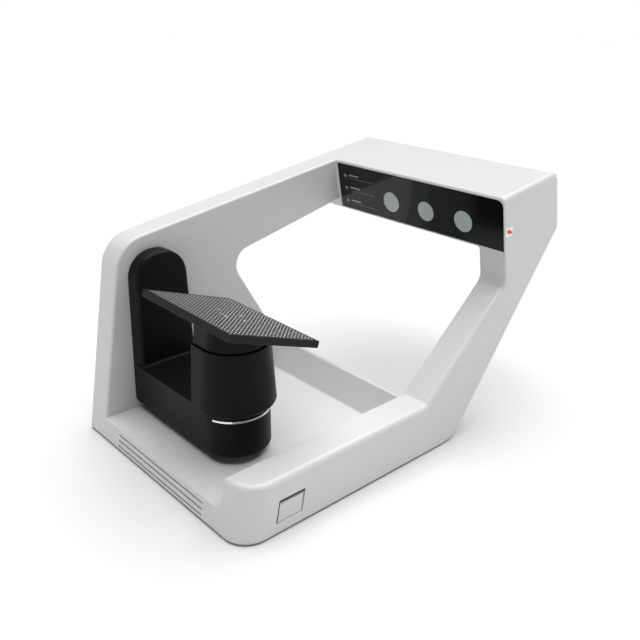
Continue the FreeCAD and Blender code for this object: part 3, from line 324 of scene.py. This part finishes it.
def coat_node(node, finish):
    """Gives a carried-over node its finish."""
    obj = frame["nodes"][node]
    obj.data.materials.clear()
    obj.data.materials.append(FINISHES[finish])


# ------------------------------------------------------------------ operators


class SCANNER_OT_finishes(bpy.types.Operator):
    """Makes the finishes and gives them to the carried-over parts"""

    bl_idname = "scanner.finishes"
    bl_label = "Finishes"

    GROUPS = {
        "white_casing": ("base_shell", "left_wall_shell", "left_cover", "right_arm_shell", "head_shell",
                         "head_rear_cover", "power_button"),
        "satin_black": ("swing_arm", "foot_cover", "turntable_housing", "connector_plate"),
        "gloss_black": ("turntable_turret",),
        "panel_black": ("front_panel",),
        "window_frost": ("left_camera_window", "projector_window", "right_camera_window"),
        "zinc_sheet": ("bottom_cover", "arm_cover", "drive_bracket", "optics_bracket"),
        "bright_steel": ("bottom_screws", "side_screws", "swing_shaft", "swing_bearings", "turntable_shaft",
                         "turntable_bearing", "plate_screws", "usb_socket", "holding_magnet",
                         "fan_screws", "rear_cover_screws"),
        "motor_grey": ("swing_motor", "turntable_motor", "turntable_hub"),
        "camera_black": ("left_camera", "projector", "right_camera"),
        "inner_black": ("fan_frame", "fan_rotor", "power_switch", "power_inlet"),
        "board_green": ("control_board",),
        "gear_brass": ("swing_gear", "swing_pinion"),
        "chrome": ("trim_ring",),
        "plate_black": ("model_plate",),
        "foot_rubber": ("rubber_feet", "vent_filter"),
    }

    def execute(self, context):
        colours = context.scene.scanner_colours
        moulded("white_casing", colours.casing, 0.36, depth=0.010, spread=0.015)
        moulded("satin_black", colours.black, 0.40, depth=0.016, spread=0.12, shine=0.10)
        moulded("inner_black", (0.03, 0.03, 0.03), 0.5)
        polished("gloss_black", (0.003, 0.003, 0.004), 0.2, shine=0.10)
        polished("panel_black", (0.005, 0.005, 0.0055), 0.06, shine=0.3)
        frosted("window_frost", colours.window)
        metal("zinc_sheet", (0.55, 0.56, 0.58), 0.42)
        metal("bright_steel", (0.62, 0.62, 0.64), 0.24)
        metal("motor_grey", (0.28, 0.28, 0.30), 0.38)
        metal("camera_black", (0.03, 0.03, 0.033), 0.42, metallic=0.4)
        metal("gear_brass", (0.72, 0.52, 0.22), 0.3)
        metal("chrome", (0.86, 0.86, 0.88), 0.10)
        moulded("plate_black", (0.010, 0.010, 0.0105), 0.5, grain=0.7, depth=0.008, spread=0.15,
                shine=0.16)
        metal("hole_edge", (0.55, 0.55, 0.56), 0.42, metallic=0.4)
        moulded("mark_red", colours.mark, 0.4)
        moulded("mark_grey", (0.30, 0.31, 0.32), 0.4)
        moulded("mark_dim", (0.10, 0.10, 0.105), 0.4)
        # Near-black finish for the plate's hole walls and bottoms and for the gaps round the power button:
        # painted shade.
        moulded("painted_shade_black", (0.004, 0.004, 0.004), 0.7)
        moulded("label_white", (0.92, 0.92, 0.90), 0.45)
        rubber("foot_rubber")
        board("board_green")
        for finish, nodes in self.GROUPS.items():
            for node in nodes:
                coat_node(node, finish)
        return {"FINISHED"}


class SCANNER_OT_plate(bpy.types.Operator):
    """Makes the model plate with its field of countersunk holes"""

    bl_idname = "scanner.plate"
    bl_label = "Model Plate"

    COLUMNS, ROWS = 31, 23
    CORNER_CUT = 0.586          # takes a square's corners back to an even octagon
    HOLE_DEPTH = 1.6 * MM
    EDGE_RADIUS = 0.5 * MM
    SCREWS = ((-14, -2), (2.5, -11), (8.5, -11), (2.5, 10), (18.5, 2))

    def execute(self, context):
        sizes = context.scene.scanner_sizes
        bm = bmesh.new()
        self.holes(bm, sizes)
        self.rim(bm, sizes)
        obj = sheet_of(bm, "perforated_plate", "plate_black", "table", TABLE, ("model_plate",),
                       angle=30)
        for finish in ("hole_edge", "painted_shade_black"):
            obj.data.materials.append(FINISHES[finish])
        self.screws(context)
        return {"FINISHED"}

    def holes(self, bm, sizes):
        """One square cell per hole: an eight-sided opening, its countersink, wall and bottom."""
        pitch, radius = sizes.hole_pitch, sizes.hole_radius
        bmesh.ops.create_grid(bm, x_segments=self.COLUMNS, y_segments=self.ROWS, size=0.5)
        bmesh.ops.scale(bm, vec=(self.COLUMNS * pitch, self.ROWS * pitch, 1), verts=bm.verts)
        cells = list(bm.faces)
        sink = radius + sizes.hole_sink
        bmesh.ops.inset_individual(bm, faces=cells, thickness=pitch / 2 - sink, use_even_offset=True)
        corners = list({v for face in cells for v in face.verts})
        bmesh.ops.bevel(bm, geom=corners, offset=sink * self.CORNER_CUT, segments=1, affect="VERTICES",
                        profile=0.5, material=-1)
        cells = [face for face in bm.faces if len(face.verts) == 8]
        cones = bmesh.ops.inset_individual(bm, faces=cells, thickness=sizes.hole_sink,
                                           depth=-sizes.hole_sink, use_even_offset=True)
        for face in cones["faces"]:
            face.material_index = 1
        walls = bmesh.ops.extrude_discrete_faces(bm, faces=cells)["faces"]
        bmesh.ops.translate(bm, vec=(0, 0, -self.HOLE_DEPTH), verts=[v for face in walls for v in face.verts])
        # Walls and bottoms take the third finish, near-black: painted shade inside each hole.
        for face in walls:
            face.material_index = 2
            for edge in face.edges:
                for side in edge.link_faces:
                    side.material_index = 2

    def rim(self, bm, sizes):
        """Plain border, rounded upper and lower edges, and the underside."""
        length, width, thick = sizes.plate_length, sizes.plate_width, sizes.plate_thick
        edge = self.EDGE_RADIUS
        spans = (self.COLUMNS * sizes.hole_pitch, self.ROWS * sizes.hole_pitch)
        for high, drop in ((-edge, 0), (0, -edge), (0, edge - thick), (-edge, -thick)):
            loop = [e for e in bm.edges if len(e.link_faces) == 1]
            new = [v for v in bmesh.ops.extrude_edge_only(bm, edges=loop)["geom"]
                   if isinstance(v, bmesh.types.BMVert)]
            goal = (length + 2 * high, width + 2 * high)
            bmesh.ops.scale(bm, vec=(goal[0] / spans[0], goal[1] / spans[1], 0), verts=new)
            bmesh.ops.translate(bm, vec=(0, 0, drop), verts=new)
            spans = goal
        loop = [e for e in bm.edges if len(e.link_faces) == 1]
        bmesh.ops.contextual_create(bm, geom=loop)

    def screws(self, context):
        """Low round heads with sockets, of the screws that hold the plate to its hub."""
        bm = bmesh.new()
        for x, y in self.SCREWS:
            spot = Matrix.Translation((x * MM, y * MM, 0))
            disc(bm, 2.1 * MM, -0.3 * MM, 0.1 * MM, spot, bevel=0.08 * MM, sides=24)
        tops = [face for face in bm.faces if face.normal.z > 0.9]
        bmesh.ops.inset_individual(bm, faces=tops, thickness=1.0 * MM)
        sockets = bmesh.ops.extrude_discrete_faces(bm, faces=tops)["faces"]
        bmesh.ops.translate(bm, vec=(0, 0, -0.3 * MM), verts=[v for face in sockets for v in face.verts])
        sheet_of(bm, "plate_screw_heads", "bright_steel", "table", TABLE)


class SCANNER_OT_marks(bpy.types.Operator):
    """Makes the printed marks on the front panel and the pointer beside it"""

    bl_idname = "scanner.marks"
    bl_label = "Printed Marks"

    LEVELS = (38.2, 23.9, 8.7)  # up the panel, in mm
    INK = 0.03 * MM             # thickness of a printed mark
    BEZEL = 1.8 * MM            # depth of the panel's edge
    LABEL = 0.1 * MM            # thickness of the patch and of the arrow on it

    def execute(self, context):
        low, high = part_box("front_panel")
        tilt = context.scene.scanner_sizes.head_tilt
        rise = high[2] - low[2] - self.BEZEL * math.sin(tilt)
        corner = (low[0], low[1] + rise * math.tan(tilt), low[2])
        face = Matrix.Translation(corner) @ Matrix.Rotation(tilt, 4, "X")
        self.panel_marks(face)
        self.pointer()
        return {"FINISHED"}

    def panel_marks(self, face):
        flat = Matrix.Rotation(math.radians(90), 4, "X")
        bright, dim = bmesh.new(), bmesh.new()
        for level in self.LEVELS:
            spot = face @ Matrix.Translation((11 * MM, 0, level * MM)) @ flat
            disc(dim, 2.4 * MM, 0, self.INK, spot, sides=24)
            disc(bright, 1.5 * MM, self.INK, 0.05 * MM, spot, sides=16)
            for start, length, tall, up, bm in ((17, 15, 1.7, 1.2, bright), (17, 36, 0.8, -2.2, dim)):
                size = (length * MM, self.INK, tall * MM)
                slab(bm, size, ((start + length / 2) * MM, -size[1] / 2, (level + up) * MM), matrix=face)
        sheet_of(dim, "panel_marks_dim", "mark_dim", "frame")
        sheet_of(bright, "panel_marks_bright", "mark_grey", "frame")

    def pointer(self):
        """Small arrow on a white patch that shows the height of the optics."""
        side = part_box("head_shell")[1][0]
        low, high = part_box("right_camera_window")
        centre = (side, (low[1] + high[1]) / 2 + 5.6 * MM, (low[2] + high[2]) / 2 - 0.6 * MM)
        turn = Matrix.Translation(centre) @ Matrix.Rotation(math.radians(90), 4, "Y")
        bm = bmesh.new()
        slab(bm, (9 * MM, 11.4 * MM, self.LABEL), (0, 0, 0.05 * MM), matrix=turn)
        sides = [e for e in bm.edges if abs(e.verts[0].co.x - e.verts[1].co.x) > 0.05 * MM]
        bmesh.ops.bevel(bm, geom=sides, offset=1.6 * MM, segments=4, affect="EDGES", profile=0.5,
                        material=-1)
        sheet_of(bm, "pointer_patch", "label_white", "frame")
        turn = turn @ Matrix.Rotation(math.radians(-18), 4, "Z")
        bm = bmesh.new()
        slab(bm, (2.5 * MM, 4.6 * MM, self.LABEL), (0, 2.5 * MM, 0.14 * MM), matrix=turn)
        tip = bmesh.ops.create_cone(bm, cap_ends=True, segments=3, radius1=3.5 * MM, radius2=3.5 * MM,
                                    depth=self.LABEL)["verts"]
        point = turn @ Matrix.Translation((0, -1.3 * MM, 0.15 * MM))
        point = point @ Matrix.Rotation(math.radians(180), 4, "Z")
        bmesh.ops.transform(bm, matrix=point, verts=tip)
        sheet_of(bm, "pointer_arrow", "mark_red", "frame")


class SCANNER_OT_button(bpy.types.Operator):
    """Makes the power button with its bevelled top, and near-black bars in the gap round it as painted shade
    """

    bl_idname = "scanner.button"
    bl_label = "Power Button"

    LEAN = 0.1925               # how far the button's sides shift to the rear, per height
    CAP_DEPTH = 3.2 * MM

    def execute(self, context):
        low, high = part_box("power_button")
        corner = Vector((high[0], low[1], low[2]))
        lean = Matrix.Identity(4)
        lean[1][2] = self.LEAN
        place = Matrix.Translation(corner) @ lean
        tall = high[2] - low[2]
        length = high[1] - low[1] - self.LEAN * tall
        bm = bmesh.new()
        slab(bm, (self.CAP_DEPTH, length, tall), (-self.CAP_DEPTH / 2, length / 2, tall / 2))
        ridge = [e for e in bm.edges
                 if all(v.co.x > -0.1 * MM and v.co.z > tall - 0.1 * MM for v in e.verts)]
        bmesh.ops.bevel(bm, geom=ridge, offset=2.2 * MM, segments=1, affect="EDGES", profile=0.5,
                        material=-1)
        bmesh.ops.bevel(bm, geom=list(bm.edges), offset=0.4 * MM, segments=3, affect="EDGES", profile=0.5,
                        material=-1, clamp_overlap=True)
        stem = Matrix.Translation((-7.8 * MM, 13 * MM, 10 * MM)) @ Matrix.Rotation(math.radians(90), 4, "Y")
        disc(bm, 2.4 * MM, 0, 5 * MM, stem, sides=32)
        sheet_of(bm, "power_button_cap", "white_casing", "button", place, ("power_button",))
        # Near-black bars filling the top gap and the left gap round the cap: painted shade where the pocket's
        # lip shadows the gap.
        bm = bmesh.new()
        slab(bm, (6.3 * MM, length - 0.6 * MM, 1.9 * MM),
             (-2.55 * MM, length / 2 + 0.1 * MM, tall + 1.3 * MM),
             bevel=0.15 * MM)
        slab(bm, (6.3 * MM, 0.8 * MM, tall - 1 * MM), (-2.55 * MM, -0.66 * MM, tall / 2), bevel=0.15 * MM)
        sheet_of(bm, "button_gap_painted_shade", "painted_shade_black", "frame", place)
        return {"FINISHED"}


class SCANNER_OT_stage(bpy.types.Operator):
    """Makes the pale floor, the soft lights and the camera"""

    bl_idname = "scanner.stage"
    bl_label = "Stage"

    FLOOR_RADIUS = 6.0          # metres
    SKY = (("From Min", 0.12), ("From Max", 0.30), ("To Min", 1.0), ("To Max", 0.05))

    def execute(self, context):
        settings = context.scene.scanner_stage
        context.scene.view_settings.view_transform = "Standard"
        self.camera(context, settings)
        self.floor(context)
        self.lights(context)
        return {"FINISHED"}

    def camera(self, context, settings):
        data = bpy.data.cameras.new("scene_camera")
        data.lens = settings.lens
        data.sensor_width = 36
        data.clip_start = 0.01
        obj = bpy.data.objects.new("scene_camera", data)
        context.scene.collection.objects.link(obj)
        obj.rotation_euler = (math.radians(90) - settings.elevation, 0, settings.azimuth)
        back = obj.rotation_euler.to_matrix() @ Vector((0, 0, 1))
        obj.location = Vector(settings.aim) + back * settings.distance
        context.scene.camera = obj

    def floor(self, context):
        book = Book("studio_floor")
        cloud = book.noise(3.0, 2.0)
        tint = book.mix(cloud, (0.71, 0.71, 0.71, 1), (0.73, 0.73, 0.73, 1))
        FINISHES["studio_floor"] = book.finish(base_color=tint, roughness=0.6)
        bm = bmesh.new()
        bmesh.ops.create_circle(bm, cap_ends=True, radius=self.FLOOR_RADIUS, segments=96)
        mesh = bpy.data.meshes.new("studio_floor")
        bm.to_mesh(mesh)
        bm.free()
        mesh.shade_smooth()
        mesh.materials.append(FINISHES["studio_floor"])
        obj = bpy.data.objects.new("studio_floor", mesh)
        context.scene.collection.objects.link(obj)

    def lights(self, context):
        """White near the horizon and dim overhead, with one wide soft light from above."""
        world = bpy.data.worlds.new("studio_world")
        context.scene.world = world
        world.use_nodes = True
        tree = world.node_tree
        height = tree.nodes.new("ShaderNodeSeparateXYZ")
        tree.links.new(tree.nodes.new("ShaderNodeTexCoord").outputs["Generated"], height.inputs[0])
        falling = tree.nodes.new("ShaderNodeMapRange")
        for key, value in self.SKY:
            falling.inputs[key].default_value = value
        tree.links.new(height.outputs["Z"], falling.inputs["Value"])
        tree.links.new(falling.outputs[0], tree.nodes["Background"].inputs["Strength"])
        tree.nodes["Background"].inputs["Color"].default_value = (1.0, 1.0, 1.0, 1)
        data = bpy.data.lights.new("overhead_light", "SUN")
        data.energy = 4.45
        data.angle = math.radians(76)
        obj = bpy.data.objects.new("overhead_light", data)
        obj.rotation_euler = (math.radians(-9), math.radians(-2), 0)
        context.scene.collection.objects.link(obj)


class SCANNER_PT_sidebar(bpy.types.Panel):
    """Lists the scanner's settings and builders"""

    bl_label = "Scanner"
    bl_idname = "SCANNER_PT_sidebar"
    bl_space_type = "VIEW_3D"
    bl_region_type = "UI"
    bl_category = "Scanner"

    def draw(self, context):
        for operator in OPERATORS:
            self.layout.operator(operator.bl_idname)
        for group in ("scanner_sizes", "scanner_colours", "scanner_stage"):
            settings = getattr(context.scene, group)
            for prop in settings.bl_rna.properties:
                if prop.identifier not in ("rna_type", "name"):
                    self.layout.prop(settings, prop.identifier)


SETTINGS = {"scanner_sizes": ScannerSizes, "scanner_colours": ScannerColours, "scanner_stage": ScannerStage}
OPERATORS = [SCANNER_OT_stage, SCANNER_OT_finishes, SCANNER_OT_plate, SCANNER_OT_marks,
             SCANNER_OT_button]


def register():
    for cls in [*SETTINGS.values(), *OPERATORS, SCANNER_PT_sidebar]:
        bpy.utils.register_class(cls)
    for name, cls in SETTINGS.items():
        setattr(bpy.types.Scene, name, bpy.props.PointerProperty(type=cls))


def unregister():
    for name in SETTINGS:
        delattr(bpy.types.Scene, name)
    for cls in reversed([*SETTINGS.values(), *OPERATORS, SCANNER_PT_sidebar]):
        bpy.utils.unregister_class(cls)


def main():
    register()
    for operator in OPERATORS:
        group, name = operator.bl_idname.split(".")
        getattr(getattr(bpy.ops, group), name)()


if __name__ == "__main__":
    main()
